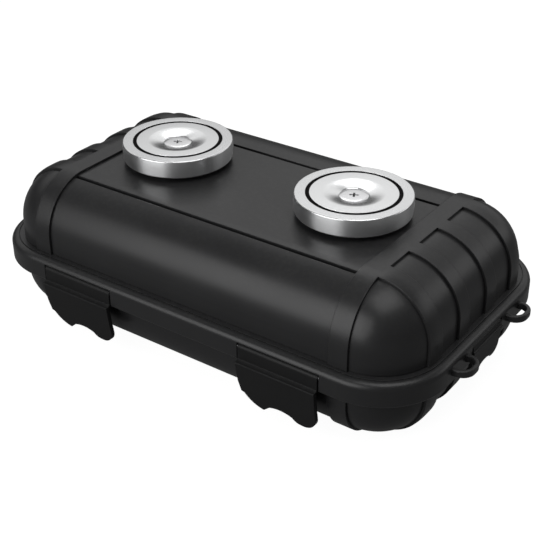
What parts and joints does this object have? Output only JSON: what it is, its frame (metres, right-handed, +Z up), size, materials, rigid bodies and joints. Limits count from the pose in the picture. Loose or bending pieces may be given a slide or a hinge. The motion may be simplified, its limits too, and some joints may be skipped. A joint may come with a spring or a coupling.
{
  "type": "stash box",
  "caption": "Rugged rounded stash box with hinged lid, snap latches, lanyard loops and flat pot magnets on top for holding it to steel.",
  "frame": {"origin": "centre of the flat resting face under the lower shell", "axes": "+X along the box to the end with the lanyard loops, -Y to the side with two latches, +Y to the hinges, +Z up through the lid to the magnets"},
  "size_m": [0.1935, 0.1174, 0.0663],
  "materials": {
    "black_plastic": "satin moulded",
    "latch_plastic": "satin moulded",
    "seal_rubber": "matte",
    "pin_steel": "plain",
    "pot_steel": "satin nickel plate",
    "core_chrome": "satin nickel plate",
    "resin_black": "cast",
    "screw_steel": "zinc plate"
  },
  "bodies": {
    "base": {"base_shell": "black_plastic", "rim_seal": "seal_rubber", "hinge_pin_left": "pin_steel", "hinge_pin_right": "pin_steel"},
    "lid": {"lid_shell": "black_plastic", "lanyard_loop_front": "black_plastic", "lanyard_loop_back": "black_plastic", "latch_pin_front_left": "pin_steel", "latch_pin_front_right": "pin_steel", "latch_pin_end": "pin_steel", "magnet_cup_left": "pot_steel", "magnet_core_left": "core_chrome", "magnet_resin_left": "resin_black", "magnet_screw_left": "screw_steel", "magnet_washer_left": "seal_rubber", "magnet_nut_left": "screw_steel", "magnet_cup_right": "pot_steel", "magnet_core_right": "core_chrome", "magnet_resin_right": "resin_black", "magnet_screw_right": "screw_steel", "magnet_washer_right": "seal_rubber", "magnet_nut_right": "screw_steel"},
    "front_left_latch": {"latch_front_left": "latch_plastic"},
    "front_right_latch": {"latch_front_right": "latch_plastic"},
    "end_latch": {"latch_end": "latch_plastic"}
  },
  "joints": [
    {"name": "lid_hinge", "type": "hinge", "parent": "base", "child": "lid", "pos_m": [0, 0.058, 0.0225], "axis": [-1, 0, 0], "range_deg": [0, 110]},
    {"name": "front_left_latch_pivot", "type": "hinge", "parent": "lid", "child": "front_left_latch", "pos_m": [-0.0446, -0.0528, 0.0278], "axis": [-1, 0, 0], "range_deg": [0, 90]},
    {"name": "front_right_latch_pivot", "type": "hinge", "parent": "lid", "child": "front_right_latch", "pos_m": [0.0446, -0.0528, 0.0278], "axis": [-1, 0, 0], "range_deg": [0, 90]},
    {"name": "end_latch_pivot", "type": "hinge", "parent": "lid", "child": "end_latch", "pos_m": [0.0921, 0, 0.0278], "axis": [0, -1, 0], "range_deg": [0, 75]}
  ]
}
